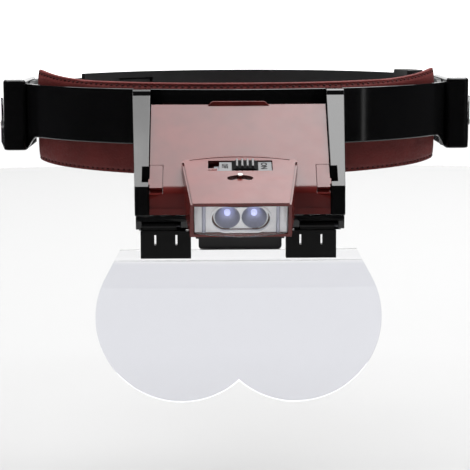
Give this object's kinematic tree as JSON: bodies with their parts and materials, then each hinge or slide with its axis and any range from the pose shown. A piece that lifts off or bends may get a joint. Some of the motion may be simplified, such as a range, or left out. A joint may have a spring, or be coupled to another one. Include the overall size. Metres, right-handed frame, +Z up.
{
  "type": "headband magnifier",
  "caption": "Head-worn magnifier: curved frame with brow pad and rear strap, lamp and battery housing in front, and a clear lens on a hinge below.",
  "frame": {"origin": "centre of the head opening, at the middle height of the arms", "axes": "+X to the viewer's right, +Y to the back of the head, +Z up; the lens and the lamp are at -Y"},
  "size_m": [0.2156, 0.2551, 0.1259],
  "materials": {
    "black_gloss": "glossy black",
    "burgundy_leather": "semi-gloss burgundy with dark red stitches",
    "black_satin": "satin black",
    "cradle_plastic": "satin black",
    "cell_metal": "printed sleeve, plain blue",
    "spring_steel": "bright",
    "contact_brass": "bright",
    "pin_steel": "plain",
    "pin_black": "blackened",
    "grey_plastic": "matte dark grey",
    "burgundy_plastic": "glossy burgundy",
    "clear_window": "clear",
    "pale_plastic": "glossy pale grey",
    "silvered_plastic": "silvered",
    "lamp_light": "clear white",
    "board_green": "satin green",
    "lever_chrome": "polished",
    "label_white": "matte white with black words",
    "knob_black": "satin black",
    "switch_metal": "plain",
    "clip_black": "satin black",
    "clear_lens": "clear acrylic"
  },
  "bodies": {
    "frame": {"front_frame": "black_gloss", "brow_pad": "burgundy_leather", "battery_box": "cradle_plastic", "cell_1": "cell_metal", "cell_2": "cell_metal", "cell_3": "cell_metal", "contact_spring_1": "spring_steel", "contact_spring_2": "spring_steel", "contact_spring_3": "spring_steel", "contact_bridge_left": "contact_brass", "contact_tab_left": "contact_brass", "contact_bridge_right": "contact_brass", "contact_tab_right": "contact_brass", "hinge_bracket_left": "black_gloss", "hinge_bracket_right": "black_gloss", "hinge_pin_left": "pin_black", "hinge_pin_right": "pin_black", "lens_stop": "grey_plastic", "screw_1_left": "pin_steel", "screw_1_right": "pin_steel", "screw_2_left": "pin_steel", "screw_2_right": "pin_steel", "screw_3_left": "pin_steel", "screw_3_right": "pin_steel"},
    "strap": {"rear_strap_left": "black_satin", "rear_strap_right": "black_satin", "strap_keeper": "black_satin", "temple_pivot_left": "black_gloss", "temple_pivot_right": "black_gloss"},
    "latch": {"strap_latch": "black_satin"},
    "cover": {"battery_cover": "burgundy_plastic", "cover_catch_left": "burgundy_plastic", "cover_catch_right": "burgundy_plastic", "lamp_housing": "burgundy_plastic", "lamp_window": "clear_window", "lamp_bezel": "pale_plastic", "switch_body": "switch_metal"},
    "beam": {"reflector_unit": "silvered_plastic", "led_left": "lamp_light", "led_right": "lamp_light", "led_board": "board_green", "beam_lever": "lever_chrome"},
    "switch": {"switch_plate": "label_white", "switch_knob": "knob_black"},
    "lens": {"lens_clip_left": "clip_black", "lens_clip_right": "clip_black", "lens_plate": "clear_lens"}
  },
  "joints": [
    {"name": "strap_tilt", "type": "hinge", "parent": "frame", "child": "strap", "pos_m": [0, -0.022, -0.003], "axis": [1, 0, 0], "range_deg": [-12, 12]},
    {"name": "latch_flex", "type": "hinge", "parent": "strap", "child": "latch", "pos_m": [-0.05727, 0.07223, 0.005], "axis": [0, 0, -1], "range_deg": [0, 8], "stiffness_Nm_per_rad": 0.3},
    {"name": "lens_flip", "type": "hinge", "parent": "frame", "child": "lens", "pos_m": [0, -0.1295, -0.0406], "axis": [-1, 0, 0], "range_deg": [0, 70]},
    {"name": "cover_lift", "type": "slide", "parent": "frame", "child": "cover", "axis": [0, -0.7071, 0.7071], "range_m": [0, 0.025]},
    {"name": "beam_swing", "type": "hinge", "parent": "cover", "child": "beam", "pos_m": [0, -0.1425, -0.0235], "axis": [0, -0.3714, 0.9285], "range_deg": [-28, 28]},
    {"name": "switch_slide", "type": "slide", "parent": "cover", "child": "switch", "axis": [-1, 0, 0], "range_m": [0, 0.004]}
  ]
}
